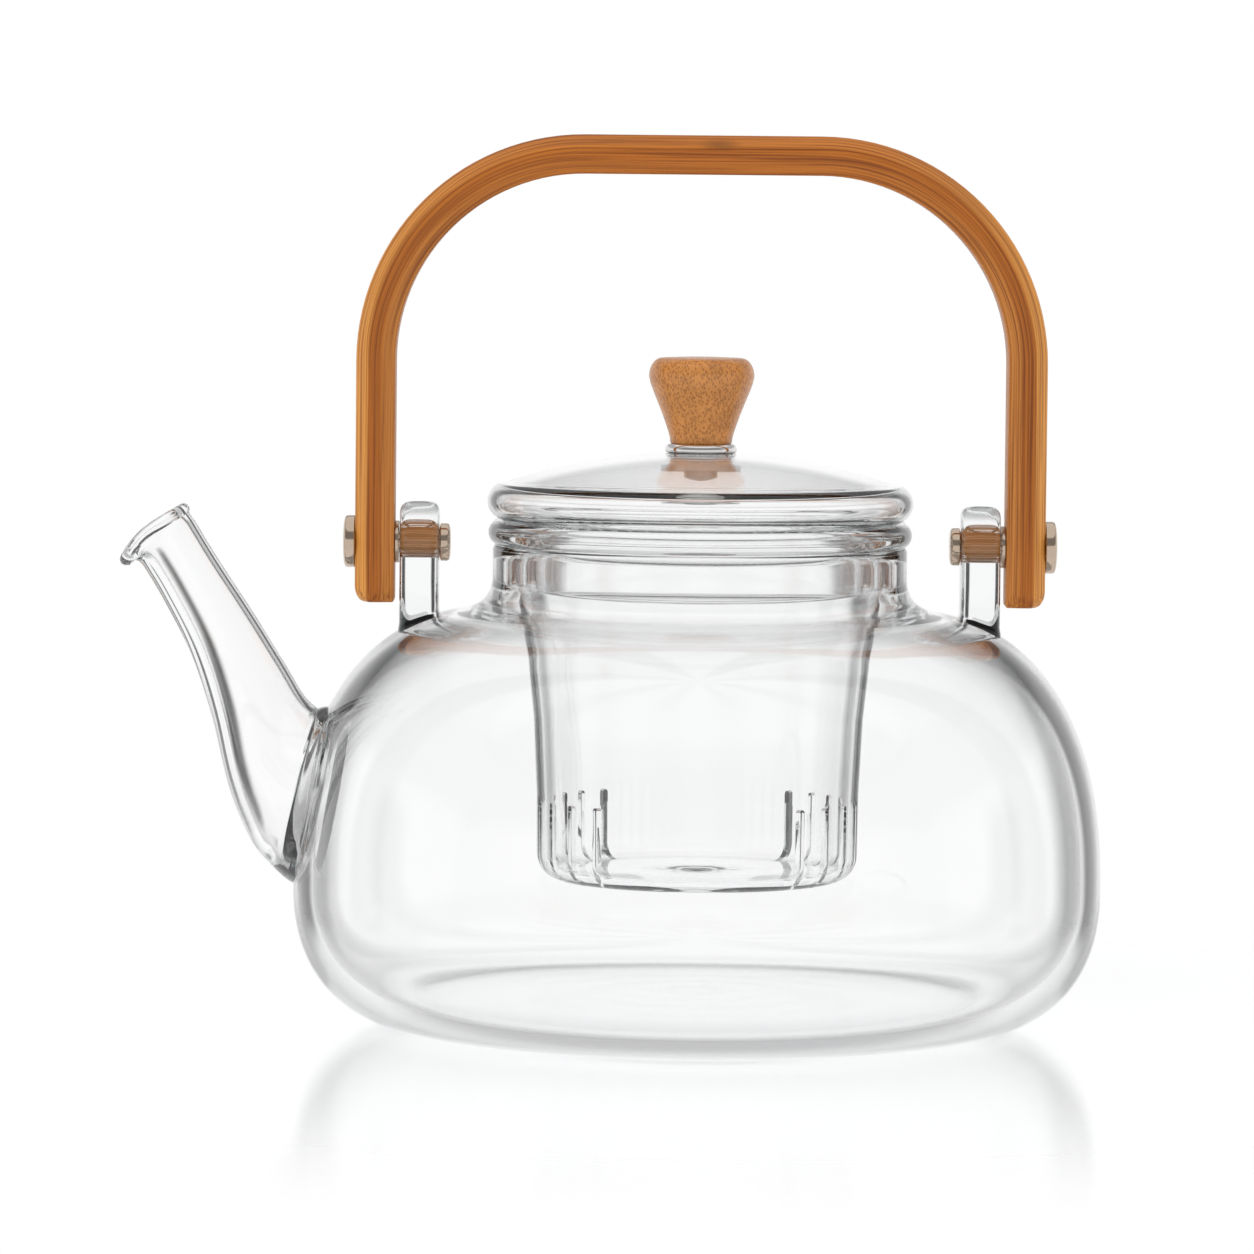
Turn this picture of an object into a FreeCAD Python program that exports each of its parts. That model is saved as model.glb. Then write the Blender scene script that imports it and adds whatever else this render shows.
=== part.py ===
"""Glass teapot with a lift-out glass infuser, a domed glass lid and a bamboo bail handle.

The pot stands on its foot at Z = 0, with its axis on Z. The spout points to -X and the bail
swings about the X axis, on pivot bolts through two solid glass lugs. Millimetres throughout.
"""
import FreeCAD, Part
import math
import os

Vector = FreeCAD.Vector
ORIGIN = Vector(0, 0, 0)
UP = Vector(0, 0, 1)

# Blown pot body
FOOT_RADIUS = 52.0
BASE_CROWN = 1.2
BELLY_RADIUS = 77.5
BELLY_Z = 27.2
LOWER_POWER = 2.3
SHOULDER_Z = 80.0
UPPER_POWER = 2.3
NECK_RADIUS = 39.7
NECK_TOP_Z = 92.4
NECK_FILLET = 6.0
NECK_WALL = 2.8
NECK_EDGE_ROUND = 0.8
SHOULDER_WALL = 2.6
BELLY_WALL = 3.8
BASE_WALL = 3.4

# Drawn spout, welded to the body: root first, mouth last
SPOUT_ROOT_INSET = 3.5
SPOUT_WALL = 1.9
SPOUT_ROOT_WALL = 3.4
SPOUT_MOUTH_WIDTH = 12.9
SPOUT_LIP_DROP = 1.5
# Each station: distance out from the root, height, outer diameter, lean of the section from vertical
SPOUT_STATIONS = [
    (-6.0, 42.3, 36.0, 9.0),
    (0.0, 43.6, 34.9, 10.0),
    (5.4, 47.6, 28.6, 25.0),
    (8.9, 54.3, 22.3, 41.0),
    (12.5, 63.9, 17.6, 50.0),
    (17.5, 74.7, 14.4, 55.0),
    (23.7, 85.3, 13.0, 57.0),
    (28.4, 92.9, 13.0, 58.0),
    (30.6, 95.2, 15.6, 58.0),
]

# Solid glass lugs and the bail's pivots
PIVOT_Z = 92.6
LUG_INNER_X = 49.9
LUG_THICKNESS = 7.6
LUG_TOP_RADIUS = 7.8
LUG_EDGE_ROUND = 1.6
LUG_ROOT_DEPTH = 9.7
PIVOT_RADIUS = 2.0
RUNNING_CLEARANCE = 0.05
BUSH_WALL = 0.9
FACE_CLEARANCE = 0.1
WASHER_RADIUS = 4.05
WASHER_THICKNESS = 0.9
CAP_RADIUS = 5.0
CAP_RIM = 1.7
CAP_DOME = 0.7
NUT_RADIUS = 3.6
NUT_RIM = 1.5
NUT_DOME = 0.6
NUT_THREAD_DEPTH = 1.3

# Bent bamboo bail
BAIL_THICKNESS = 7.5
BAIL_DEPTH = 13.0
BAIL_TOP_Z = 170.8
BAIL_CORNER_RADIUS = 43.4
BAIL_END_BELOW_PIVOT = 11.4
BAIL_OUTER_CHAMFER = 2.3
BAIL_OUTER_CHAMFER_DEPTH = 2.4
BAIL_INNER_CHAMFER = 2.5
BAIL_INNER_CHAMFER_DEPTH = 1.0
BAIL_END_ROUND = 3.0

# Lift-out infuser
INFUSER_FLANGE_RADIUS = 40.6
INFUSER_FLANGE_HEIGHT = 4.6
INFUSER_LIP_ROUND = 2.5
INFUSER_NECK_CLEARANCE = 1.6
INFUSER_CUP_TOP_RADIUS = 32.6
INFUSER_CUP_TOP_Z = 70.0
INFUSER_STEP_HEIGHT = 11.0
INFUSER_CUP_RADIUS = 30.8
INFUSER_BOTTOM_Z = 28.3
INFUSER_CORNER_RADIUS = 5.0
INFUSER_WALL = 1.9
INFUSER_FLOOR = 1.8
SLOT_WIDTH = 1.2
SLOT_TOP_Z = 44.5
SLOT_FLOOR_RADIUS = 26.0
SLOTS_PER_SIDE = 9
SLOT_PITCH_DEG = 12.75

# Domed lid with its hollow rolled rim and locating skirt
LID_RADIUS = 40.8
LID_RIM_HEIGHT = 7.4
LID_CROWN_Z = 110.4
LID_WALL = 2.1
LID_HOLE_RADIUS = 6.1
SKIRT_CLEARANCE = 1.8
SKIRT_WALL = 1.9
SKIRT_BOTTOM_Z = 81.8

# Turned bamboo knob, its chrome collar and the hardware that holds it to the lid
COLLAR_RADIUS = 6.9
COLLAR_TOP_RADIUS = 6.3
COLLAR_HEIGHT = 1.7
KNOB_FOOT_RADIUS = 5.9
KNOB_RADIUS = 10.1
KNOB_HEIGHT = 16.6
KNOB_WIDEST_HEIGHT = 12.9
KNOB_TOP_RADIUS = 7.6
# Knob flank from foot to widest part: share of the rise, share of the swell
KNOB_FLANK = [(0.18, 0.10), (0.38, 0.34), (0.72, 0.83)]
SPIGOT_RADIUS = 5.0
SEAL_FILL = 0.85
RETAINER_RADIUS = 7.6
RETAINER_THICKNESS = 1.2
SCREW_RADIUS = 1.5
SCREW_DEPTH = 9.0
SCREW_HEAD_RADIUS = 3.2
SCREW_HEAD_HEIGHT = 1.8
SCREW_SLOT_WIDTH = 0.8

# Places that follow from the sizes above
FLANGE_TOP_Z = NECK_TOP_Z + INFUSER_FLANGE_HEIGHT
NECK_BORE = NECK_RADIUS - NECK_WALL
SPOUT_ROOT_X = SPOUT_ROOT_INSET - BELLY_RADIUS
INFUSER_COLLAR_RADIUS = NECK_BORE - INFUSER_NECK_CLEARANCE
INFUSER_COLLAR_BORE = INFUSER_COLLAR_RADIUS - INFUSER_WALL
SKIRT_RADIUS = INFUSER_COLLAR_BORE - SKIRT_CLEARANCE
SKIRT_BORE = SKIRT_RADIUS - SKIRT_WALL
BUSH_BORE = PIVOT_RADIUS + RUNNING_CLEARANCE
BUSH_RADIUS = BUSH_BORE + BUSH_WALL
LUG_OUTER_X = LUG_INNER_X + LUG_THICKNESS
WASHER_INNER_X = LUG_OUTER_X + FACE_CLEARANCE
BAIL_INNER_X = WASHER_INNER_X + WASHER_THICKNESS
BAIL_OUTER_X = BAIL_INNER_X + BAIL_THICKNESS
NUT_FACE_X = LUG_INNER_X - FACE_CLEARANCE
LID_FLOOR_Z = FLANGE_TOP_Z
SIDES = {"left": -1, "right": 1}


def at(radius, z):
    """A point of a turned profile, in the XZ plane."""
    return Vector(radius, 0, z)


def line(*points):
    """Straight edges from point to point."""
    return [Part.LineSegment(a, b).toShape() for a, b in zip(points, points[1:])]


def arc(start, middle, end):
    return Part.Arc(start, middle, end).toShape()


def corner_arc(start, corner, end):
    """A quarter round from start to end, bulging towards corner."""
    centre = start + end - corner
    middle = centre + (corner - centre) * math.sqrt(0.5)
    return arc(start, middle, end)


def crown_arc(edge, apex):
    """A shallow dome's arc from its edge to its apex, centred on the axis."""
    rise = apex.z - edge.z
    radius = (edge.x ** 2 + rise ** 2) / (2 * rise)
    half = math.asin(edge.x / radius) / 2
    middle = at(radius * math.sin(half), apex.z - radius + radius * math.cos(half))
    return arc(edge, middle, apex)


def arc_chain(points):
    """Arcs through each three points in turn. The last point of one arc starts the next."""
    return [arc(*points[i:i + 3]) for i in range(0, len(points) - 2, 2)]


def turned(edges):
    """The solid that a closed XZ profile sweeps about the Z axis."""
    wire = Part.Wire(Part.__sortEdges__(edges))
    solid = Part.Face(wire).revolve(ORIGIN, UP, 360)
    if solid.Volume < 0:
        solid.reverse()
    return solid


def cylinder_x(radius, start_x, end_x, z):
    """A cylinder along X between two places, whichever is lower."""
    low = min(start_x, end_x)
    return Part.makeCylinder(radius, abs(end_x - start_x), Vector(low, 0, z), Vector(1, 0, 0))


def quarter(centre_r, centre_z, reach_r, reach_z, power, angles):
    """Points of a superellipse quarter, from its widest point at 0 degrees to its end at 90."""
    found = []
    for angle in angles:
        share_r = max(0.0, math.cos(math.radians(angle))) ** (2 / power)
        share_z = math.sin(math.radians(angle)) ** (2 / power)
        found.append(at(round(centre_r + reach_r * share_r, 9), round(centre_z + reach_z * share_z, 9)))
    return found


def belly_edges(inset_base, inset_belly, inset_shoulder, inset_neck):
    """The body's outline from the foot's edge to the straight neck, moved in by a wall that varies."""
    foot = FOOT_RADIUS - inset_base / 2
    neck = NECK_RADIUS - inset_neck
    belly = BELLY_RADIUS - inset_belly
    shoulder = SHOULDER_Z - inset_shoulder
    lower = quarter(foot, BELLY_Z, belly - foot, inset_base - BELLY_Z, LOWER_POWER, [90, 75, 55, 28, 0])
    upper = quarter(neck, BELLY_Z, belly - neck, shoulder - BELLY_Z, UPPER_POWER, [0, 15, 30, 45, 58, 70, 80])
    root = NECK_FILLET * (1 - math.sqrt(0.5))
    fillet = [upper[-1], at(neck + root, shoulder + root), at(neck, shoulder + NECK_FILLET)]
    return arc_chain(lower) + arc_chain(upper) + arc_chain(fillet)


def body_outline():
    """Outer edge of the body, from the foot to the top of the neck's straight wall."""
    neck_start = at(NECK_RADIUS, SHOULDER_Z + NECK_FILLET)
    neck_end = at(NECK_RADIUS, NECK_TOP_Z - NECK_EDGE_ROUND)
    return belly_edges(0, 0, 0, 0) + line(neck_start, neck_end)


def body_core():
    """The body's outer shape as a full solid, which welded pieces are trimmed against."""
    top = at(NECK_RADIUS, NECK_TOP_Z - NECK_EDGE_ROUND)
    edges = body_outline() + line(top, at(0, top.z), at(0, 0), at(FOOT_RADIUS, 0))
    return turned(edges)


def section(station, wall, wide=None):
    """A ring of the spout on its leaning plane: round, or drawn down at the mouth."""
    out, z, diameter, lean = station
    tilt = math.radians(lean)
    normal = Vector(-math.cos(tilt), 0, math.sin(tilt))
    downward = Vector(-math.sin(tilt), 0, -math.cos(tilt))
    centre = Vector(SPOUT_ROOT_X - out, 0, z)
    radius = diameter / 2 - wall
    ring = Part.Circle(ORIGIN, UP, radius)
    if wide:
        ring = Part.Ellipse(ORIGIN, radius, wide / 2 - wall)
        centre += downward * SPOUT_LIP_DROP
    wire = Part.Wire(ring.toShape())
    turn = FreeCAD.Rotation(downward, normal.cross(downward), normal, "ZXY")
    wire.Placement = FreeCAD.Placement(centre, turn)
    return wire


def spout_solid(wall, root_wall):
    """The spout's outside or bore: a loft whose mouth is drawn down into a pouring lip."""
    rings = []
    last = len(SPOUT_STATIONS) - 1
    for index, station in enumerate(SPOUT_STATIONS):
        thickness = root_wall if index < 2 else wall
        rings.append(section(station, thickness, SPOUT_MOUTH_WIDTH if index == last else None))
    return Part.makeLoft(rings, True, False)


def make_spout(core):
    outside = spout_solid(0, 0)
    bore = spout_solid(SPOUT_WALL, SPOUT_ROOT_WALL)
    return outside.cut(bore).cut(core), bore


def make_body(bore):
    """Blown shell with a thick base that rises a little inside, an open neck and the spout's hole."""
    inner_foot = at(FOOT_RADIUS - BASE_WALL / 2, BASE_WALL)
    inner_neck = at(NECK_BORE, SHOULDER_Z - SHOULDER_WALL + NECK_FILLET)
    edge = NECK_EDGE_ROUND
    outer_top = at(NECK_RADIUS, NECK_TOP_Z - edge)
    outer_flat = at(NECK_RADIUS - edge, NECK_TOP_Z)
    inner_flat = at(NECK_BORE + edge, NECK_TOP_Z)
    inner_top = at(NECK_BORE, NECK_TOP_Z - edge)
    edges = body_outline()
    edges.append(corner_arc(outer_top, at(NECK_RADIUS, NECK_TOP_Z), outer_flat))
    edges += line(outer_flat, inner_flat)
    edges.append(corner_arc(inner_flat, at(NECK_BORE, NECK_TOP_Z), inner_top))
    edges += line(inner_top, inner_neck)
    edges += belly_edges(BASE_WALL, BELLY_WALL, SHOULDER_WALL, NECK_WALL)
    crown = at(0, BASE_WALL + BASE_CROWN)
    edges.append(crown_arc(inner_foot, crown))
    edges += line(crown, at(0, 0), at(FOOT_RADIUS, 0))
    return turned(edges).cut(bore)


def make_lug(side, core):
    """A solid glass tab, round-topped about the pivot, fused to the shoulder and drilled for the bush."""
    depth = 2 * LUG_TOP_RADIUS
    foot_z = SHOULDER_Z - LUG_ROOT_DEPTH
    post = Part.makeBox(LUG_THICKNESS, depth, PIVOT_Z - foot_z, Vector(LUG_INNER_X, -depth / 2, foot_z))
    head = cylinder_x(LUG_TOP_RADIUS, LUG_INNER_X, LUG_OUTER_X, PIVOT_Z)
    tab = post.fuse(head).removeSplitter()
    rims = [e for e in tab.Edges if is_tab_rim(e, foot_z)]
    tab = tab.makeFillet(LUG_EDGE_ROUND, rims)
    tab = tab.cut(cylinder_x(BUSH_RADIUS, LUG_INNER_X, LUG_OUTER_X, PIVOT_Z))
    if side < 0:
        tab = tab.mirror(ORIGIN, Vector(1, 0, 0))
    return tab.cut(core)


def is_tab_rim(edge, foot_z):
    """True for the edges round the tab's two flat faces, apart from those at its foot."""
    box = edge.BoundBox
    on_face = box.XLength < 1e-6
    return on_face and box.ZMax > foot_z + 1e-6


def make_bush(side):
    tube = cylinder_x(BUSH_RADIUS, side * LUG_INNER_X, side * LUG_OUTER_X, PIVOT_Z)
    return tube.cut(cylinder_x(BUSH_BORE, side * LUG_INNER_X, side * LUG_OUTER_X, PIVOT_Z))


def make_washer(side):
    disc = cylinder_x(WASHER_RADIUS, side * WASHER_INNER_X, side * BAIL_INNER_X, PIVOT_Z)
    return disc.cut(cylinder_x(PIVOT_RADIUS, side * WASHER_INNER_X, side * BAIL_INNER_X, PIVOT_Z))


def domed_head(radius, rim, dome):
    """A low domed button on the Z axis, flat side at Z = 0."""
    edges = line(at(0, 0), at(radius, 0), at(radius, rim))
    edges.append(crown_arc(at(radius, rim), at(0, rim + dome)))
    edges += line(at(0, rim + dome), at(0, 0))
    return turned(edges)


def along_x(shape, face_x, direction):
    """Lays a shape made on +Z along X, with its base at face_x on the pivot axis."""
    laid = shape.copy()
    laid.rotate(ORIGIN, Vector(0, 1, 0), 90 * direction)
    laid.translate(Vector(face_x, 0, PIVOT_Z))
    return laid


def make_pivot_bolt(side):
    """Large domed cap outside the bail, with a shank through bail, washer, bush and nut."""
    cap = along_x(domed_head(CAP_RADIUS, CAP_RIM, CAP_DOME), side * BAIL_OUTER_X, side)
    shank = cylinder_x(PIVOT_RADIUS, side * BAIL_OUTER_X, side * (NUT_FACE_X - NUT_THREAD_DEPTH), PIVOT_Z)
    return cap.fuse(shank).removeSplitter()


def make_cap_nut(side):
    """Small domed nut inside the lug, blind-tapped for the bolt's end."""
    nut = along_x(domed_head(NUT_RADIUS, NUT_RIM, NUT_DOME), side * NUT_FACE_X, -side)
    thread_end_x = NUT_FACE_X - NUT_THREAD_DEPTH
    return nut.cut(cylinder_x(PIVOT_RADIUS, side * NUT_FACE_X, side * thread_end_x, PIVOT_Z))


def bail_section(x, z):
    """The bail's cross-section at the foot of a leg: wide bevels outside, slight ones inside."""
    outer = x + BAIL_THICKNESS
    half = BAIL_DEPTH / 2
    corners = [
        Vector(x, half - BAIL_INNER_CHAMFER_DEPTH, z),
        Vector(x + BAIL_INNER_CHAMFER, half, z),
        Vector(outer - BAIL_OUTER_CHAMFER, half, z),
        Vector(outer, half - BAIL_OUTER_CHAMFER_DEPTH, z),
    ]
    corners += [Vector(p.x, -p.y, z) for p in reversed(corners)]
    return Part.Wire(line(*corners, corners[0]))


def make_bail():
    """One strip of bamboo bent over the pot, drilled at the feet for the pivot bolts."""
    foot_z = PIVOT_Z - BAIL_END_BELOW_PIVOT
    middle_x = (BAIL_INNER_X + BAIL_OUTER_X) / 2
    top_z = BAIL_TOP_Z - BAIL_THICKNESS / 2
    bend = BAIL_CORNER_RADIUS - BAIL_THICKNESS / 2
    bent = bend * math.sqrt(0.5)
    path = line(Vector(middle_x, 0, foot_z), Vector(middle_x, 0, top_z - bend))
    centre = Vector(middle_x - bend, 0, top_z - bend)
    right_end = Vector(centre.x, 0, top_z)
    left_end = Vector(-centre.x, 0, top_z)
    path.append(arc(Vector(middle_x, 0, centre.z), centre + Vector(bent, 0, bent), right_end))
    path += line(right_end, left_end)
    path.append(arc(left_end, Vector(-centre.x - bent, 0, centre.z + bent), Vector(-middle_x, 0, centre.z)))
    path += line(Vector(-middle_x, 0, centre.z), Vector(-middle_x, 0, foot_z))
    strip = Part.Wire(path).makePipeShell([bail_section(BAIL_INNER_X, foot_z)], True, False)
    feet = [e for e in strip.Edges if is_foot_corner(e, foot_z)]
    strip = strip.makeFillet(BAIL_END_ROUND, feet)
    for side in SIDES.values():
        strip = strip.cut(cylinder_x(PIVOT_RADIUS, side * BAIL_INNER_X, side * BAIL_OUTER_X, PIVOT_Z))
    return strip


def is_foot_corner(edge, foot_z):
    """True for the flat front and back edges of a leg's end."""
    box = edge.BoundBox
    return box.ZMax < foot_z + 1e-6 and box.YLength < 1e-6


def make_infuser():
    """Flanged glass cup whose lower wall is slit in two groups, left and right."""
    edge = INFUSER_FLANGE_HEIGHT / 2
    flange_face = INFUSER_FLANGE_RADIUS - edge / 2
    bottom = INFUSER_BOTTOM_Z
    floor = bottom + INFUSER_FLOOR
    corner = INFUSER_CORNER_RADIUS
    bend_in = corner - INFUSER_WALL
    outer_cup = s_curve(INFUSER_CUP_TOP_RADIUS, INFUSER_COLLAR_RADIUS)
    inner_cup = s_curve(INFUSER_CUP_TOP_RADIUS - INFUSER_WALL, INFUSER_COLLAR_BORE)
    cup_bore = INFUSER_CUP_RADIUS - INFUSER_WALL
    bottom_edge = at(INFUSER_CUP_RADIUS - corner, bottom)
    edges = line(at(0, floor), at(0, bottom), bottom_edge)
    wall_foot = at(INFUSER_CUP_RADIUS, bottom + corner)
    edges.append(corner_arc(bottom_edge, at(INFUSER_CUP_RADIUS, bottom), wall_foot))
    edges += line(wall_foot, outer_cup[0]) + arc_chain(outer_cup)
    bend = INFUSER_NECK_CLEARANCE * 0.75
    collar_top = at(INFUSER_COLLAR_RADIUS, NECK_TOP_Z - bend)
    flange_root = at(INFUSER_COLLAR_RADIUS + bend, NECK_TOP_Z)
    edges += line(outer_cup[-1], collar_top)
    edges.append(corner_arc(collar_top, at(INFUSER_COLLAR_RADIUS, NECK_TOP_Z), flange_root))
    edges += line(flange_root, at(flange_face, NECK_TOP_Z))
    edges.append(arc(at(flange_face, NECK_TOP_Z), at(INFUSER_FLANGE_RADIUS, NECK_TOP_Z + edge),
                     at(flange_face, FLANGE_TOP_Z)))
    lip_start = at(INFUSER_COLLAR_BORE + INFUSER_LIP_ROUND, FLANGE_TOP_Z)
    lip_end = at(INFUSER_COLLAR_BORE, FLANGE_TOP_Z - INFUSER_LIP_ROUND)
    edges += line(at(flange_face, FLANGE_TOP_Z), lip_start)
    edges.append(corner_arc(lip_start, at(INFUSER_COLLAR_BORE, FLANGE_TOP_Z), lip_end))
    edges += line(lip_end, inner_cup[-1]) + arc_chain(inner_cup)
    inner_foot = at(cup_bore, floor + bend_in)
    edges += line(inner_cup[0], inner_foot)
    floor_edge = at(cup_bore - bend_in, floor)
    edges.append(corner_arc(inner_foot, at(cup_bore, floor), floor_edge))
    edges += line(floor_edge, at(0, floor))
    return turned(edges).cut(slot_cutters())


def s_curve(low_radius, high_radius):
    """Two equal arcs that step the infuser's wall out from the cup to the collar."""
    high_z = INFUSER_CUP_TOP_Z + INFUSER_STEP_HEIGHT
    step = high_radius - low_radius
    rise = INFUSER_STEP_HEIGHT
    bend = (step ** 2 + rise ** 2) / (4 * step)
    half = math.asin(rise / (2 * bend)) / 2
    out = bend * (1 - math.cos(half))
    up = bend * math.sin(half)
    middle = at(low_radius + step / 2, INFUSER_CUP_TOP_Z + rise / 2)
    first = at(low_radius + out, INFUSER_CUP_TOP_Z + up)
    second = at(high_radius - out, high_z - up)
    return [at(low_radius, INFUSER_CUP_TOP_Z), first, middle, second, at(high_radius, high_z)]


def slot_cutters():
    """Upright blades with round tops, fanned about the axis on the left and on the right."""
    reach = INFUSER_CUP_TOP_RADIUS + INFUSER_WALL
    half = SLOT_WIDTH / 2
    below = INFUSER_BOTTOM_Z - INFUSER_FLOOR
    blade = Part.makeBox(reach - SLOT_FLOOR_RADIUS, SLOT_WIDTH, SLOT_TOP_Z - half - below,
                         Vector(SLOT_FLOOR_RADIUS, -half, below))
    top = Part.makeCylinder(half, reach - SLOT_FLOOR_RADIUS, Vector(SLOT_FLOOR_RADIUS, 0, SLOT_TOP_Z - half),
                            Vector(1, 0, 0))
    blade = blade.fuse(top)
    fan = []
    for side in SIDES.values():
        for index in range(SLOTS_PER_SIDE):
            turn = (index - (SLOTS_PER_SIDE - 1) / 2) * SLOT_PITCH_DEG
            copy = blade.copy()
            copy.rotate(ORIGIN, UP, turn if side > 0 else 180 + turn)
            fan.append(copy)
    return Part.makeCompound(fan)


def lid_surface_z(radius):
    """Height of the lid's crown at a radius. The crown is part of a sphere that ends at the rolled rim."""
    rise = LID_CROWN_Z - LID_FLOOR_Z - LID_RIM_HEIGHT
    edge_r = LID_RADIUS - LID_RIM_HEIGHT / 2
    sphere = (edge_r ** 2 + rise ** 2) / (2 * rise)
    return LID_CROWN_Z - sphere + math.sqrt(sphere ** 2 - radius ** 2)


def lid_dome(inset):
    """The lid's crown from the hole's edge to the rolled rim, moved down by a wall."""
    edge_r = LID_RADIUS - LID_RIM_HEIGHT / 2
    radii = [LID_HOLE_RADIUS, (LID_HOLE_RADIUS + edge_r) / 2, edge_r]
    return [at(radius, lid_surface_z(radius) - inset) for radius in radii]


def make_lid():
    """Blown lid: dome, rolled hollow rim, flat seat and a skirt that drops into the infuser."""
    rim_top = LID_FLOOR_Z + LID_RIM_HEIGHT
    half = LID_RIM_HEIGHT / 2
    outer = lid_dome(0)
    inner = lid_dome(LID_WALL)
    rim_inner = half - LID_WALL
    seat_outer = at(LID_RADIUS - half, LID_FLOOR_Z)
    hollow_top = at(LID_RADIUS - half, rim_top - LID_WALL)
    hollow_foot = at(LID_RADIUS - half, LID_FLOOR_Z + LID_WALL)
    skirt_end = SKIRT_BOTTOM_Z + SKIRT_WALL / 2
    skirt_root = at(SKIRT_RADIUS, LID_FLOOR_Z)
    skirt_inside = at(SKIRT_BORE, LID_FLOOR_Z + LID_WALL)
    edges = arc_chain(outer)
    edges.append(arc(outer[-1], at(LID_RADIUS, LID_FLOOR_Z + half), seat_outer))
    edges += line(seat_outer, skirt_root, at(SKIRT_RADIUS, skirt_end))
    edges.append(arc(at(SKIRT_RADIUS, skirt_end), at(SKIRT_RADIUS - SKIRT_WALL / 2, SKIRT_BOTTOM_Z),
                     at(SKIRT_BORE, skirt_end)))
    edges += line(at(SKIRT_BORE, skirt_end), skirt_inside, hollow_foot)
    edges.append(arc(hollow_foot, at(LID_RADIUS - half + rim_inner, LID_FLOOR_Z + half), hollow_top))
    edges += arc_chain(inner)
    edges += line(inner[0], outer[0])
    return turned(edges)


def make_collar():
    """Chrome ring between knob and lid, with a sleeve-high cone outside."""
    foot = COLLAR_SEAT_Z
    top = foot + COLLAR_HEIGHT
    rim = foot + COLLAR_HEIGHT / 3
    corners = [at(SPIGOT_RADIUS, foot), at(COLLAR_RADIUS, foot), at(COLLAR_RADIUS, rim)]
    corners += [at(COLLAR_TOP_RADIUS, top), at(SPIGOT_RADIUS, top), at(SPIGOT_RADIUS, foot)]
    return turned(line(*corners))


def make_knob():
    """Turned bamboo knob that swells from a narrow foot, with a spigot through collar and lid."""
    foot = COLLAR_SEAT_Z + COLLAR_HEIGHT
    top = foot + KNOB_HEIGHT
    widest = foot + KNOB_WIDEST_HEIGHT
    swell = KNOB_RADIUS - KNOB_FOOT_RADIUS
    side = [at(KNOB_FOOT_RADIUS, foot)]
    for up_share, out_share in KNOB_FLANK:
        side.append(at(KNOB_FOOT_RADIUS + swell * out_share, foot + KNOB_WIDEST_HEIGHT * up_share))
    side.append(at(KNOB_RADIUS, widest))
    edge_r = KNOB_RADIUS - KNOB_TOP_RADIUS
    rounding = quarter(KNOB_TOP_RADIUS, widest, edge_r, top - widest, 2, [0, 22, 45, 68, 90])
    end = RETAINER_SEAT_Z
    pilot = end + SCREW_DEPTH
    edges = arc_chain(side) + arc_chain(rounding)
    edges += line(rounding[-1], at(0, top), at(0, pilot), at(SCREW_RADIUS, pilot), at(SCREW_RADIUS, end))
    edges += line(at(SCREW_RADIUS, end), at(SPIGOT_RADIUS, end), at(SPIGOT_RADIUS, foot))
    edges += line(at(SPIGOT_RADIUS, foot), at(KNOB_FOOT_RADIUS, foot))
    return turned(edges)


def make_seals():
    """Two soft rings that centre the spigot in the lid's hole."""
    pitch = (COLLAR_SEAT_Z - RETAINER_SEAT_Z) / 2
    rings = []
    for index in range(2):
        foot = Vector(0, 0, RETAINER_SEAT_Z + index * pitch)
        ring = Part.makeCylinder(LID_HOLE_RADIUS, pitch * SEAL_FILL, foot)
        rings.append(ring.cut(Part.makeCylinder(SPIGOT_RADIUS, pitch, foot)))
    return Part.makeCompound(rings)


def make_retainer():
    """Steel washer that bears on the underside of the lid round the hole."""
    foot = Vector(0, 0, RETAINER_SEAT_Z - RETAINER_THICKNESS)
    disc = Part.makeCylinder(RETAINER_RADIUS, RETAINER_THICKNESS, foot)
    return disc.cut(Part.makeCylinder(SCREW_RADIUS, RETAINER_THICKNESS, foot))


def make_knob_screw():
    """Slotted pan-head screw up through the washer into the knob."""
    seat = RETAINER_SEAT_Z - RETAINER_THICKNESS
    shank = Part.makeCylinder(SCREW_RADIUS, SCREW_DEPTH + RETAINER_THICKNESS, Vector(0, 0, seat))
    head = domed_head(SCREW_HEAD_RADIUS, SCREW_HEAD_HEIGHT * 0.6, SCREW_HEAD_HEIGHT * 0.4)
    head.rotate(ORIGIN, Vector(1, 0, 0), 180)
    head.translate(Vector(0, 0, seat))
    slot = Part.makeBox(2 * SCREW_HEAD_RADIUS, SCREW_SLOT_WIDTH, SCREW_HEAD_HEIGHT / 2,
                        Vector(-SCREW_HEAD_RADIUS, -SCREW_SLOT_WIDTH / 2, seat - SCREW_HEAD_HEIGHT))
    return shank.fuse(head).removeSplitter().cut(slot)


COLLAR_SEAT_Z = lid_surface_z(LID_HOLE_RADIUS)
RETAINER_SEAT_Z = lid_surface_z(RETAINER_RADIUS) - LID_WALL - FACE_CLEARANCE / 2


def build():
    core = body_core()
    spout, bore = make_spout(core)
    nodes = {
        "pot_body": make_body(bore),
        "spout": spout,
        "infuser": make_infuser(),
        "lid_glass": make_lid(),
        "lid_knob": make_knob(),
        "knob_collar": make_collar(),
        "stem_seals": make_seals(),
        "retaining_washer": make_retainer(),
        "knob_screw": make_knob_screw(),
        "bail_handle": make_bail(),
    }
    for name, side in SIDES.items():
        nodes[name + "_lug"] = make_lug(side, core)
        nodes[name + "_bush"] = make_bush(side)
        nodes[name + "_washer"] = make_washer(side)
        nodes[name + "_pivot_bolt"] = make_pivot_bolt(side)
        nodes[name + "_cap_nut"] = make_cap_nut(side)
    return nodes


os.makedirs("parts", exist_ok=True)
for node_name, shape in build().items():
    shape.exportStep(os.path.join("parts", node_name + ".step"))
    print(node_name, "valid" if shape.isValid() else "INVALID", len(shape.Solids), round(shape.Volume, 1))
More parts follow.
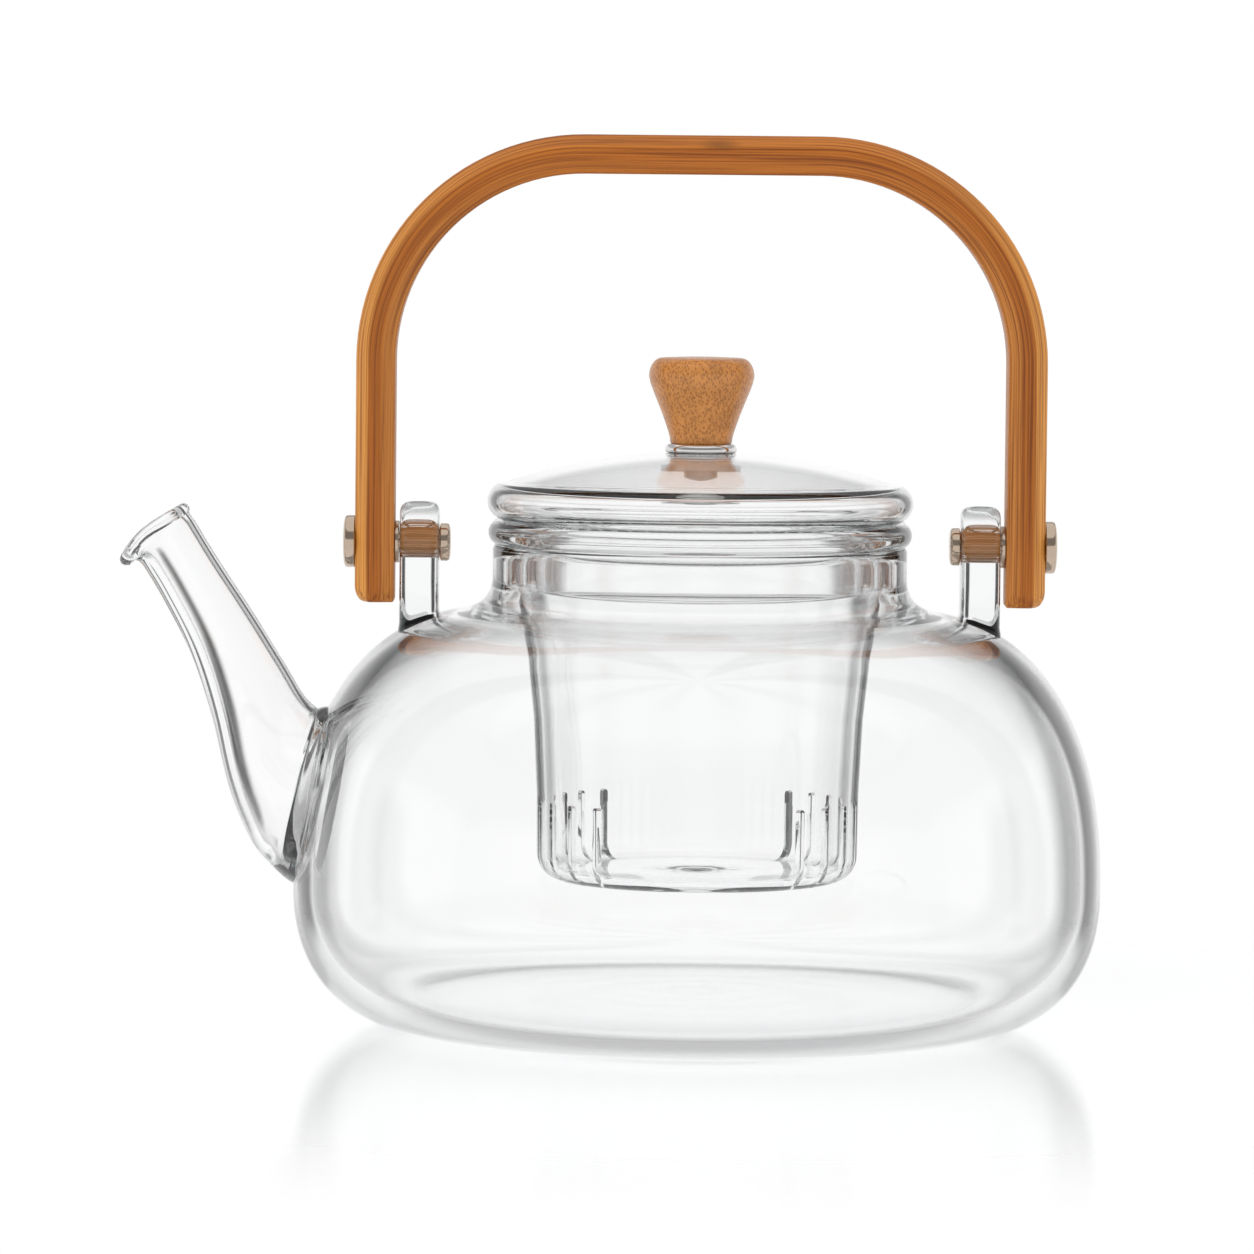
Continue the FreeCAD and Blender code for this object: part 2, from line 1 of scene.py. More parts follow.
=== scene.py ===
import math
import bpy
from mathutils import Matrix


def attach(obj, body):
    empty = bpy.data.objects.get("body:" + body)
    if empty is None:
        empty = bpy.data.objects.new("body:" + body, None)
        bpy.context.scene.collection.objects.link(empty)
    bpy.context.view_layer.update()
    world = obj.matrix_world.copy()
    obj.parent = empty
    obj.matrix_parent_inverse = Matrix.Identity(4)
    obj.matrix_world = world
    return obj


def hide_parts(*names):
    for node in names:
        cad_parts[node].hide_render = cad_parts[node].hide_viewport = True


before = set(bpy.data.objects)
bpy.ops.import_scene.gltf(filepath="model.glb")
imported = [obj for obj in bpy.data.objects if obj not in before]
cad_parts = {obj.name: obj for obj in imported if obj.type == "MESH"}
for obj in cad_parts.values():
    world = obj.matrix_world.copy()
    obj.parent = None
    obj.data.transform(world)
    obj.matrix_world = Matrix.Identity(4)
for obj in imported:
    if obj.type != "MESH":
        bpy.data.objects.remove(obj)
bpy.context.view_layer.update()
scene = bpy.context.scene
scene.view_settings.view_transform = "Standard"
bpy.ops.object.select_all(action="DESELECT")

# Camera: well back in front of the pot, a little above the lid and tilted down on it.
# The photograph leans by about half a degree, so the camera does too.
CAMERA_PLACE = (-0.0147, -1.340, 0.1656)
CAMERA_TILT = math.radians(86.2)
CAMERA_LEAN = math.radians(-0.55)
bpy.ops.object.camera_add(location=CAMERA_PLACE, rotation=(CAMERA_TILT, CAMERA_LEAN, 0))
camera = bpy.context.object
camera.data.lens = 201
camera.data.sensor_width = 36
camera.data.clip_end = 50
scene.camera = camera

# Studio: a white, polished table top that fades out with distance, under open white light. Only bent and
# mirrored rays see the eight grey cards, grey ceiling and dim wall that give the glass its dark edges.
# The bounce limits are raised, because about a dozen glass faces stand in one line of sight.
TABLE_RADIUS = 3
TABLE_Z = -0.0002
TABLE_FADE = (0.09, 0.27)
FOOT_FADE = (0.049, 0.060)
CARD_COUNT = 8
FRONT_PALENESS = 0.9
WHITE = (1, 1, 1, 1)
CARD_GREY = (0.06, 0.06, 0.063, 1)
LOW_GREY = (0.50, 0.50, 0.505, 1)
HIGH_GREY = (0.55, 0.55, 0.555, 1)
WALL_GREY = (0.32, 0.32, 0.325, 1)
DAYLIGHT = (0.98, 0.99, 1.0, 1)


def new_finish(name):
    """A new material made of nodes, with its node tree and its main shader."""
    material = bpy.data.materials.new(name)
    material.use_nodes = True
    return material, material.node_tree, material.node_tree.nodes["Principled BSDF"]


def feed(tree, value, socket):
    """Links another node's output to a socket, or sets the socket to a plain value."""
    if isinstance(value, bpy.types.NodeSocket):
        tree.links.new(value, socket)
    else:
        socket.default_value = value


def worked(tree, operation, *values):
    """A number worked out from others."""
    node = tree.nodes.new("ShaderNodeMath")
    node.operation = operation
    for value, socket in zip(values, node.inputs):
        feed(tree, value, socket)
    return node.outputs[0]


def length_of(tree, vector):
    """The length of a vector."""
    node = tree.nodes.new("ShaderNodeVectorMath")
    node.operation = "LENGTH"
    tree.links.new(vector, node.inputs[0])
    return node.outputs["Value"]


def parts_of(tree, vector):
    """The X, Y and Z of a vector."""
    node = tree.nodes.new("ShaderNodeSeparateXYZ")
    tree.links.new(vector, node.inputs["Vector"])
    return node.outputs


def spread(tree, source, low, high, curve="LINEAR", to_low=0, to_high=1):
    """A number that goes from to_low to to_high as its source goes from low to high."""
    node = tree.nodes.new("ShaderNodeMapRange")
    node.interpolation_type = curve
    node.inputs["From Min"].default_value = low
    node.inputs["From Max"].default_value = high
    node.inputs["To Min"].default_value = to_low
    node.inputs["To Max"].default_value = to_high
    tree.links.new(source, node.inputs["Value"])
    return node.outputs["Result"]


def ramp(tree, source, stops, curve="LINEAR"):
    """A colour that changes along a source from 0 to 1, with its stops in rising order."""
    node = tree.nodes.new("ShaderNodeValToRGB")
    node.color_ramp.interpolation = curve
    points = node.color_ramp.elements
    for point, (place, colour) in zip(points, (stops[0], stops[-1])):
        point.position = place
        point.color = colour
    for place, colour in stops[1:-1]:
        points.new(place).color = colour
    tree.links.new(source, node.inputs["Fac"])
    return node.outputs["Color"]


def mixed(tree, share, first, second, blend="MIX", kind="RGBA"):
    """Two colours or numbers in one, by a share of the second."""
    node = tree.nodes.new("ShaderNodeMix")
    node.data_type = kind
    node.blend_type = blend
    for name, value in (("Factor", share), ("A", first), ("B", second)):
        feed(tree, value, node.inputs[name])
    return node.outputs["Result"]


def either(tree, share, first, second):
    """Two shaders in one, by a share of the second."""
    node = tree.nodes.new("ShaderNodeMixShader")
    tree.links.new(share, node.inputs["Fac"])
    tree.links.new(first, node.inputs[1])
    tree.links.new(second, node.inputs[2])
    return node.outputs[0]


def glow(tree, colour):
    """Light from all round, at a strength of 1."""
    node = tree.nodes.new("ShaderNodeBackground")
    feed(tree, colour, node.inputs["Color"])
    return node.outputs[0]


bpy.ops.mesh.primitive_circle_add(vertices=128, radius=TABLE_RADIUS, fill_type="NGON",
                                  location=(0, 0, TABLE_Z))
table = bpy.context.object
table.name = "table"
table_white, tree, shader = new_finish("table_white")
shader.inputs["Base Color"].default_value = (0.95, 0.95, 0.95, 1)
shader.inputs["Roughness"].default_value = 0.13
shader.inputs["Specular IOR Level"].default_value = 0.50
coords = tree.nodes.new("ShaderNodeTexCoord")
reach = length_of(tree, coords.outputs["Object"])
table_fade = spread(tree, reach, *TABLE_FADE, "SMOOTHERSTEP")
foot_fade = spread(tree, reach, *FOOT_FADE, "SMOOTHERSTEP")
ray = tree.nodes.new("ShaderNodeLightPath").outputs
open_share = mixed(tree, ray["Is Transmission Ray"], table_fade, foot_fade, kind="FLOAT")
beyond = tree.nodes.new("ShaderNodeBsdfTransparent")
table_surface = either(tree, open_share, shader.outputs[0], beyond.outputs[0])
tree.links.new(table_surface, tree.nodes["Material Output"].inputs["Surface"])
table.data.materials.append(table_white)

scene.cycles.max_bounces = 32
scene.cycles.transmission_bounces = 32
scene.cycles.glossy_bounces = 16
world = bpy.data.worlds.new("studio")
scene.world = world
world.use_nodes = True
tree = world.node_tree
tree.nodes.clear()
output = tree.nodes.new("ShaderNodeOutputWorld")
coords = tree.nodes.new("ShaderNodeTexCoord")
toward = parts_of(tree, coords.outputs["Generated"])
bearing = worked(tree, "ARCTAN2", toward["X"], toward["Y"])
wave = worked(tree, "COSINE", worked(tree, "MULTIPLY", bearing, CARD_COUNT))
between_cards = spread(tree, wave, -1, 1)
cards = ramp(tree, between_cards, [(0.14, CARD_GREY), (0.48, WHITE)], "EASE")
in_front = spread(tree, toward["Y"], -0.05, -0.35)
below_cards = spread(tree, toward["Z"], -0.17, -0.30, "SMOOTHSTEP")
pale_front = worked(tree, "MULTIPLY", in_front, FRONT_PALENESS)
pale_share = worked(tree, "MAXIMUM", pale_front, below_cards)
ring_of_cards = mixed(tree, pale_share, cards, WHITE)
height = spread(tree, toward["Z"], -1, 1)
ceiling_stops = [(0.14, LOW_GREY), (0.27, WHITE), (0.60, WHITE)]
ceiling_stops += [(0.67, HIGH_GREY), (0.775, HIGH_GREY), (0.85, WHITE)]
ceiling = ramp(tree, height, ceiling_stops, "EASE")
wall_stops = [(0.14, WHITE), (0.24, WALL_GREY), (0.66, WALL_GREY), (0.78, WHITE)]
dim_wall = ramp(tree, toward["Z"], wall_stops, "EASE")
bent_view = glow(tree, mixed(tree, 1, ring_of_cards, ceiling, "DARKEN"))
mirrored = glow(tree, mixed(tree, in_front, ceiling, dim_wall))
ray = tree.nodes.new("ShaderNodeLightPath").outputs
unseen = either(tree, ray["Is Glossy Ray"], glow(tree, DAYLIGHT), mirrored)
unseen = either(tree, ray["Is Transmission Ray"], unseen, bent_view)
surroundings = either(tree, ray["Is Camera Ray"], unseen, glow(tree, WHITE))
tree.links.new(surroundings, output.inputs["Surface"])

bpy.ops.object.light_add(type="AREA", location=(-0.5, -0.9, 1.2),
                         rotation=(math.radians(38), math.radians(-18), 0))
key = bpy.context.object
key.name = "key_light"
key.data.size = 0.6
key.data.energy = 5.0
key.visible_glossy = False
key.visible_transmission = False

# Pot: blown clear glass with a thick base. The drawn spout is welded over a hole in its side and two
# solid lugs are fused to the shoulder, so all of it is one closed piece of glass.
FOOT_RADIUS = 0.052
BELLY_RADIUS = 0.0775
BELLY_Z = 0.0272
BELLY_POWER = 2.3
SHOULDER_Z = 0.080
NECK_RADIUS = 0.0397
NECK_FOOT_Z = 0.0895
NECK_TOP_Z = 0.0924
NECK_BORE = 0.0369
NECK_FILLET = 0.006
RIM_ROUND = 0.0008
RIM_CORNER = (0.0002, 0.0003)
INNER_BELLY_RADIUS = 0.0737
INNER_SHOULDER_Z = 0.0774
INNER_FOOT_RADIUS = 0.0503
FLOOR_RADIUS = 0.0493
FLOOR_Z = 0.0034
FLOOR_STEPS = 40
RIPPLE_HEIGHT = 0.000014
RIPPLE_PITCH = 0.0105
RIPPLE_FADE = 0.022
PIVOT_Z = 0.0926


def quarter(centre_r, centre_z, reach_r, reach_z, power, first, last, count):
    """Points along a superellipse quarter, between two angles in degrees."""
    points = []
    for index in range(count):
        angle = math.radians(first + (last - first) * index / (count - 1))
        r = centre_r + reach_r * max(0, math.cos(angle)) ** (2 / power)
        z = centre_z + reach_z * max(0, math.sin(angle)) ** (2 / power)
        points.append((r, z))
    return points


def turned(name, outline, steps):
    """Draws the outline as a chain of edges in edit mode and spins it about the pot's axis."""
    bpy.ops.object.select_all(action="DESELECT")
    bpy.ops.mesh.primitive_plane_add(size=0.001)
    piece = bpy.context.object
    piece.name = name
    bpy.ops.object.mode_set(mode="EDIT")
    bpy.ops.mesh.select_all(action="SELECT")
    bpy.ops.mesh.merge(type="CENTER")
    bpy.ops.transform.translate(value=(outline[0][0], 0, outline[0][1]))
    for before, after in zip(outline, outline[1:]):
        step = (after[0] - before[0], 0, after[1] - before[1])
        bpy.ops.mesh.extrude_region_move(TRANSFORM_OT_translate={"value": step})
    bpy.ops.mesh.select_all(action="SELECT")
    bpy.ops.mesh.spin(steps=steps, angle=2 * math.pi, center=(0, 0, 0), axis=(0, 0, 1))
    bpy.ops.mesh.select_all(action="SELECT")
    bpy.ops.mesh.remove_doubles(threshold=2e-6)
    bpy.ops.mesh.normals_make_consistent(inside=False)
    bpy.ops.object.mode_set(mode="OBJECT")
    bpy.ops.object.shade_smooth_by_angle(angle=math.radians(40))
    return piece


def pick(piece):
    """Makes a piece the only selected one, and the active one."""
    bpy.ops.object.select_all(action="DESELECT")
    piece.select_set(True)
    bpy.context.view_layer.objects.active = piece


def combine(piece, tool, operation):
    """Welds or cuts one closed mesh with another, which is then gone."""
    pick(piece)
    step = piece.modifiers.new(operation.lower(), "BOOLEAN")
    step.operation = operation
    step.solver = "EXACT"
    step.object = tool
    bpy.ops.object.modifier_apply(modifier=step.name)
    bpy.data.objects.remove(tool)


def placed():
    """Moves the selected object's place, turn and size into its mesh."""
    bpy.ops.object.transform_apply(location=True, rotation=True, scale=True)
    return bpy.context.object


def skinned(rings):
    """Joins rings to the last one, bridges them in turn and closes both ends."""
    for ring in rings:
        ring.select_set(True)
    bpy.context.view_layer.objects.active = rings[-1]
    bpy.ops.object.join()
    bpy.ops.object.mode_set(mode="EDIT")
    bpy.ops.mesh.select_all(action="SELECT")
    bpy.ops.mesh.bridge_edge_loops()
    bpy.ops.mesh.select_all(action="DESELECT")
    bpy.ops.mesh.select_non_manifold()
    bpy.ops.mesh.edge_face_add()
    bpy.ops.mesh.select_all(action="SELECT")
    bpy.ops.mesh.normals_make_consistent(inside=False)
    bpy.ops.object.mode_set(mode="OBJECT")
    return bpy.context.object


outside = [(0, 0), (0.02, 0), (0.04, 0), (FOOT_RADIUS - 0.001, 0)]
outside += quarter(FOOT_RADIUS, BELLY_Z, BELLY_RADIUS - FOOT_RADIUS, -BELLY_Z, BELLY_POWER, 88, 0, 30)
outside += quarter(NECK_RADIUS, BELLY_Z, BELLY_RADIUS - NECK_RADIUS, SHOULDER_Z - BELLY_Z,
                   BELLY_POWER, 0, 79, 36)[1:]
outside += quarter(NECK_RADIUS + NECK_FILLET, SHOULDER_Z + NECK_FILLET, -NECK_FILLET, -NECK_FILLET,
                   2, 72, 0, 9)
outside += [(NECK_RADIUS, NECK_FOOT_Z), (NECK_RADIUS, NECK_TOP_Z - RIM_ROUND)]
rim = [(NECK_RADIUS - RIM_CORNER[0], NECK_TOP_Z - RIM_CORNER[1]), (NECK_RADIUS - RIM_ROUND, NECK_TOP_Z)]
rim += [(NECK_BORE + RIM_ROUND, NECK_TOP_Z), (NECK_BORE + RIM_CORNER[0], NECK_TOP_Z - RIM_CORNER[1])]
inside = [(NECK_BORE, NECK_TOP_Z - RIM_ROUND), (NECK_BORE, NECK_FOOT_Z)]
inside += quarter(NECK_BORE + NECK_FILLET, INNER_SHOULDER_Z + NECK_FILLET, -NECK_FILLET, -NECK_FILLET,
                  2, 0, 72, 9)
inside += quarter(NECK_BORE, BELLY_Z, INNER_BELLY_RADIUS - NECK_BORE, INNER_SHOULDER_Z - BELLY_Z,
                  BELLY_POWER, 79, 0, 36)
inside += quarter(INNER_FOOT_RADIUS, BELLY_Z, INNER_BELLY_RADIUS - INNER_FOOT_RADIUS, FLOOR_Z - BELLY_Z,
                  BELLY_POWER, 0, 88, 30)[1:]
for index in range(FLOOR_STEPS):
    r = FLOOR_RADIUS * (1 - index / FLOOR_STEPS)
    ripple = RIPPLE_HEIGHT * math.cos(2 * math.pi * r / RIPPLE_PITCH) * math.exp(-r / RIPPLE_FADE)
    inside.append((r, FLOOR_Z + ripple))
inside.append((0, inside[-1][1]))
pot_glass = turned("pot_glass", outside + rim + inside, 180)

# Spout stations from root to mouth: each has an x, a z, an outer radius and a lean in degrees.
SPOUT_STATIONS = [
    (-0.0728, 0.0434, 0.0176, 10), (-0.0752, 0.0441, 0.0170, 12), (-0.0772, 0.0456, 0.0158, 18),
    (-0.0794, 0.0476, 0.0143, 25), (-0.0829, 0.0543, 0.01115, 41), (-0.0865, 0.0639, 0.0088, 50),
    (-0.0915, 0.0747, 0.0072, 55), (-0.0977, 0.0853, 0.0065, 57), (-0.1024, 0.0929, 0.0065, 58),
]
MOUTH_DEGREES = 58
SPOUT_STEPS = 48
ROOT_WALL = 0.0034
SPOUT_WALL = 0.0019
WALL_THINNING = 0.0002
BORE_RISE = 0.0005


def along(stations, share):
    """A station between two others, on a smooth curve through them all."""
    place = share * (len(stations) - 1)
    at = min(int(place), len(stations) - 2)
    t = place - at
    before = stations[max(at - 1, 0)]
    after = stations[min(at + 2, len(stations) - 1)]
    station = []
    for a, b, c, d in zip(before, stations[at], stations[at + 1], after):
        station.append(b + 0.5 * t * (c - a + t * (2 * a - 5 * b + 4 * c - d + t * (3 * (b - c) + d - a))))
    return station


def tube(name, stations):
    """A closed tube through a circle at each station."""
    bpy.ops.object.select_all(action="DESELECT")
    rings = []
    for x, z, radius, lean in stations:
        bpy.ops.mesh.primitive_circle_add(vertices=72, radius=radius, location=(x, 0, z),
                                          rotation=(0, math.radians(lean - 90), 0))
        rings.append(placed())
    piece = skinned(rings)
    piece.name = name
    return piece


stations = [along(SPOUT_STATIONS, index / SPOUT_STEPS) for index in range(SPOUT_STEPS + 1)]
flare = [(-0.1033, 0.0939, 0.0066), (-0.1040, 0.0947, 0.0069), (-0.1045, 0.0953, 0.0070)]
bore_flare = [(-0.1033, 0.0945, 0.0049), (-0.1040, 0.0955, 0.0054), (-0.1050, 0.0971, 0.0060)]
spout_outside = tube("spout_outside", stations + [(*ring, MOUTH_DEGREES) for ring in flare])
bore_stations = [(-0.0640, 0.0418, 0.0142, 10)]
for index, (x, z, radius, lean) in enumerate(stations):
    wall = max(SPOUT_WALL, ROOT_WALL - WALL_THINNING * max(0, index - 2))
    rise = BORE_RISE * min(1, index / 20)
    tilt = math.radians(lean)
    bore_stations.append((x + rise * math.sin(tilt), z + rise * math.cos(tilt), radius - wall, lean))
spout_bore = tube("spout_bore", bore_stations + [(*ring, MOUTH_DEGREES) for ring in bore_flare])
combine(pot_glass, spout_outside, "UNION")
combine(pot_glass, spout_bore, "DIFFERENCE")

# The spout's mouth is melted to a round bead, and its low side is pulled out and down into a pouring lip.
MOUTH_X = -0.1043
MOUTH_Z = 0.0951
MOUTH_RADIUS = 0.0062
MOUTH_LEAN = math.radians(MOUTH_DEGREES - 90)
LIP_OUT = 0.0020
LIP_DOWN = 0.0024
LIP_LENGTH = 0.0058
LIP_BEAD = 0.0012
LIP_POWER = 2.5
LIP_REACH_X = -0.09
bpy.ops.object.select_all(action="DESELECT")
bpy.ops.mesh.primitive_torus_add(major_segments=72, minor_segments=20, major_radius=MOUTH_RADIUS,
                                 minor_radius=LIP_BEAD, location=(MOUTH_X, 0, MOUTH_Z),
                                 rotation=(0, MOUTH_LEAN, 0))
combine(pot_glass, placed(), "UNION")
across = (math.cos(MOUTH_LEAN), -math.sin(MOUTH_LEAN))
axial = (math.sin(MOUTH_LEAN), math.cos(MOUTH_LEAN))
for vertex in pot_glass.data.vertices:
    x = vertex.co.x - MOUTH_X
    z = vertex.co.z - MOUTH_Z
    side = x * across[0] + z * across[1]
    ahead = x * axial[0] + z * axial[1]
    near = max(0, min(1, (ahead + LIP_LENGTH) / (LIP_LENGTH - 1.2 * LIP_BEAD)))
    if vertex.co.x < LIP_REACH_X and near > 0:
        low = max(0, -side / max(1e-6, math.hypot(side, vertex.co.y)))
        pull = low ** LIP_POWER * near ** LIP_POWER
        out = -LIP_OUT * pull
        down = -LIP_DOWN * pull * near
        vertex.co.x += out * across[0] + down * axial[0]
        vertex.co.z += out * across[1] + down * axial[1]

# The lugs are upright tabs with a round top, each with a hole for its sleeve. Their rings have a z, a
# half thickness and a half width, and the lowest ones slope with the shoulder.
LUG_X = 0.0537
LUG_HALF = 0.0038
LUG_RADIUS = 0.0078
LUG_STRAIGHT_Z = 0.0850
LUG_SLOPE = 0.42
LUG_SLOPE_LENGTH = 0.0080
LUG_SQUARENESS = 0.45
BUSH_RADIUS = 0.00295
lug_rings = [(0.0752, 0.0041, 0.0081), (0.0776, 0.0040, 0.0080), (0.0781, 0.0039, 0.0079)]
lug_rings += [(0.0786, LUG_HALF, LUG_RADIUS), (LUG_STRAIGHT_Z, LUG_HALF, LUG_RADIUS)]
for degrees in range(0, 52, 6):
    angle = math.radians(degrees)
    lug_rings.append((PIVOT_Z + LUG_RADIUS * math.sin(angle), LUG_HALF, LUG_RADIUS * math.cos(angle)))
for rise, half_x, half_y in ((0.0065, 0.0037, 0.00425), (0.0071, 0.0034, 0.0032), (0.0075, 0.0029, 0.0022),
                             (0.0077, 0.0022, 0.0014), (0.0078, 0.0012, 0.0007)):
    lug_rings.append((PIVOT_Z + rise, half_x, half_y))
for side in (-1, 1):
    bpy.ops.object.select_all(action="DESELECT")
    rings = []
    for z, half_x, half_y in lug_rings:
        bpy.ops.mesh.primitive_circle_add(vertices=64, radius=1)
        ring = bpy.context.object
        slope = LUG_SLOPE * min(1, max(0, (LUG_STRAIGHT_Z - z) / LUG_SLOPE_LENGTH))
        for vertex in ring.data.vertices:
            x = math.copysign(abs(vertex.co.x) ** LUG_SQUARENESS, vertex.co.x) * half_x
            y = math.copysign(abs(vertex.co.y) ** LUG_SQUARENESS, vertex.co.y) * half_y
            vertex.co = (side * LUG_X + x, y, z - side * slope * x)
        rings.append(ring)
    lug = skinned(rings)
    bpy.ops.mesh.primitive_cylinder_add(vertices=48, radius=BUSH_RADIUS, depth=0.02,
                                        location=(side * LUG_X, 0, PIVOT_Z),
                                        rotation=(0, math.radians(90), 0))
    combine(lug, bpy.context.object, "DIFFERENCE")
    combine(pot_glass, lug, "UNION")
pick(pot_glass)
bpy.ops.object.mode_set(mode="EDIT")
bpy.ops.mesh.select_all(action="SELECT")
bpy.ops.mesh.dissolve_degenerate(threshold=2e-6)
bpy.ops.object.mode_set(mode="OBJECT")
bpy.ops.object.shade_smooth_by_angle(angle=math.radians(32))

glass, tree, shader = new_finish("clear_glass")
shader.inputs["Roughness"].default_value = 0.0
shader.inputs["IOR"].default_value = 1.47
shader.inputs["Transmission Weight"].default_value = 1.0
# The base colour holds painted shade: it turns grey where the surface is seen edge-on, standing in for the
# dark edges the glass shows against its surroundings, and stays white on level faces.
graze = tree.nodes.new("ShaderNodeLayerWeight")
graze.inputs["Blend"].default_value = 0.5
edge_shade_stops = [(0.58, WHITE), (0.70, (0.64, 0.64, 0.64, 1)), (0.79, (0.32, 0.32, 0.32, 1))]
edge_shade_stops += [(1.0, (0.36, 0.36, 0.36, 1))]
painted_edge_shade = ramp(tree, graze.outputs["Facing"], edge_shade_stops)
coords = tree.nodes.new("ShaderNodeTexCoord")
level = worked(tree, "ABSOLUTE", parts_of(tree, coords.outputs["Normal"])["Z"])
flat_share = spread(tree, level, 0.90, 0.98)
tree.links.new(mixed(tree, flat_share, painted_edge_shade, WHITE), shader.inputs["Base Color"])
absorb = tree.nodes.new("ShaderNodeVolumeAbsorption")
absorb.inputs["Color"].default_value = (0.86, 0.88, 0.88, 1)
absorb.inputs["Density"].default_value = 30
tree.links.new(absorb.outputs[0], tree.nodes["Material Output"].inputs["Volume"])
ray = tree.nodes.new("ShaderNodeLightPath").outputs
clear = tree.nodes.new("ShaderNodeBsdfTransparent")
clear.inputs["Color"].default_value = (0.965, 0.965, 0.965, 1)
glass_surface = either(tree, ray["Is Shadow Ray"], shader.outputs[0], clear.outputs[0])
tree.links.new(glass_surface, tree.nodes["Material Output"].inputs["Surface"])
pot_glass.data.materials.clear()
pot_glass.data.materials.append(glass)
pot_glass.visible_diffuse = False
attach(pot_glass, "pot")
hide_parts("pot_body", "spout", "left_lug", "right_lug")

# Infuser: a blown glass cup with a thick rolled flange that hangs on the neck. Its lower wall is sawn
# into two fans of slits, which run down round the corner on to the floor.
CUP_BOTTOM_Z = 0.0283
CUP_FLAT = 0.0258
CUP_ROUND = 0.005
CUP_TOP_RADIUS = 0.0326
CUP_TOP_Z = 0.070
COLLAR_RADIUS = 0.0353
COLLAR_FOOT_Z = 0.081
COLLAR_MID_Z = 0.086
INFUSER_WALL = 0.0019
FLANGE_TOP_Z = 0.097
FLANGE_MID_Z = (NECK_TOP_Z + FLANGE_TOP_Z) / 2
FLANGE_MID = 0.0386
FLANGE_FLAT = 0.0394
FLANGE_BULGE = 0.0020
FLANGE_HALF = FLANGE_TOP_Z - FLANGE_MID_Z
HANG_ROUND = 0.0012
LIP_ROUND = 0.0025
SLIT_WIDTH = 0.0012
SLITS_PER_FAN = 9
SLIT_PITCH = 12.75
BLADE_MIDDLE = (0.030, 0, 0.0345)
BLADE_SIZE = (0.008, SLIT_WIDTH, 0.019)


def step_out(low_r, high_r, low_z, high_z, count):
    """An S-curve from a lower radius to a higher one."""
    points = []
    for index in range(count):
        t = index / (count - 1)
        smooth = t * t * (3 - 2 * t)
        points.append((low_r + (high_r - low_r) * smooth, low_z + (high_z - low_z) * t))
    return points


cup = [(0, CUP_BOTTOM_Z), (0.012, CUP_BOTTOM_Z), (CUP_FLAT, CUP_BOTTOM_Z)]
cup += quarter(CUP_FLAT, CUP_BOTTOM_Z + CUP_ROUND, CUP_ROUND, -CUP_ROUND, 2, 80, 0, 9)
cup += [(0.0309, 0.045), (0.0316, 0.060)]
cup += step_out(CUP_TOP_RADIUS, COLLAR_RADIUS, CUP_TOP_Z, COLLAR_FOOT_Z, 12)
cup += [(COLLAR_RADIUS, COLLAR_MID_Z), (COLLAR_RADIUS, NECK_TOP_Z - HANG_ROUND)]
cup += quarter(COLLAR_RADIUS + HANG_ROUND, NECK_TOP_Z - HANG_ROUND, -HANG_ROUND, HANG_ROUND, 2, 15, 90, 6)
cup += [(FLANGE_FLAT, NECK_TOP_Z)]
cup += quarter(FLANGE_MID, FLANGE_MID_Z, FLANGE_BULGE, -FLANGE_HALF, 2, 66, 0, 8)
cup += quarter(FLANGE_MID, FLANGE_MID_Z, FLANGE_BULGE, FLANGE_HALF, 2, 0, 66, 8)[1:]
bore = COLLAR_RADIUS - INFUSER_WALL
cup += [(FLANGE_FLAT, FLANGE_TOP_Z), (bore + LIP_ROUND, FLANGE_TOP_Z)]
cup += quarter(bore + LIP_ROUND, FLANGE_TOP_Z - LIP_ROUND, -LIP_ROUND, LIP_ROUND, 2, 80, 0, 8)
cup += [(bore, COLLAR_MID_Z)]
cup += step_out(bore, CUP_TOP_RADIUS - INFUSER_WALL, COLLAR_FOOT_Z, CUP_TOP_Z, 12)
cup += [(0.0297, 0.060), (0.0290, 0.045)] + quarter(CUP_FLAT, 0.0332, 0.0031, -0.0031, 2, 0, 80, 8)
cup += [(0.0250, 0.0301), (0.012, 0.0301), (0.0040, 0.0300), (0.0030, 0.0296), (0, 0.0293)]
infuser_cup = turned("infuser_cup", cup, 180)
bpy.ops.object.select_all(action="DESELECT")
bpy.ops.mesh.primitive_cube_add(size=1, location=BLADE_MIDDLE)
bpy.context.object.scale = BLADE_SIZE
blade = placed()
bpy.ops.object.mode_set(mode="EDIT")
bpy.ops.mesh.select_all(action="DESELECT")
bpy.ops.object.mode_set(mode="OBJECT")
for edge in blade.data.edges:
    ends = [blade.data.vertices[corner].co for corner in edge.vertices]
    edge.select = all(end.z > BLADE_MIDDLE[2] for end in ends) and abs(ends[0].y - ends[1].y) < 1e-6
bpy.ops.object.mode_set(mode="EDIT")
bpy.ops.mesh.bevel(offset=SLIT_WIDTH * 0.48, segments=4)
bpy.ops.object.mode_set(mode="OBJECT")
blades = []
for fan in (0, 180):
    for index in range(SLITS_PER_FAN):
        pick(blade)
        bpy.ops.object.duplicate()
        turn = fan + (index - (SLITS_PER_FAN - 1) / 2) * SLIT_PITCH
        bpy.context.object.rotation_euler.z = math.radians(turn)
        blades.append(placed())
bpy.data.objects.remove(blade)
for copy in blades:
    copy.select_set(True)
bpy.ops.object.join()
combine(infuser_cup, bpy.context.object, "DIFFERENCE")
pick(infuser_cup)
bpy.ops.object.shade_smooth_by_angle(angle=math.radians(32))
infuser_cup.data.materials.clear()
infuser_cup.data.materials.append(glass)
infuser_cup.visible_diffuse = False
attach(infuser_cup, "infuser_cup")
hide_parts("infuser")

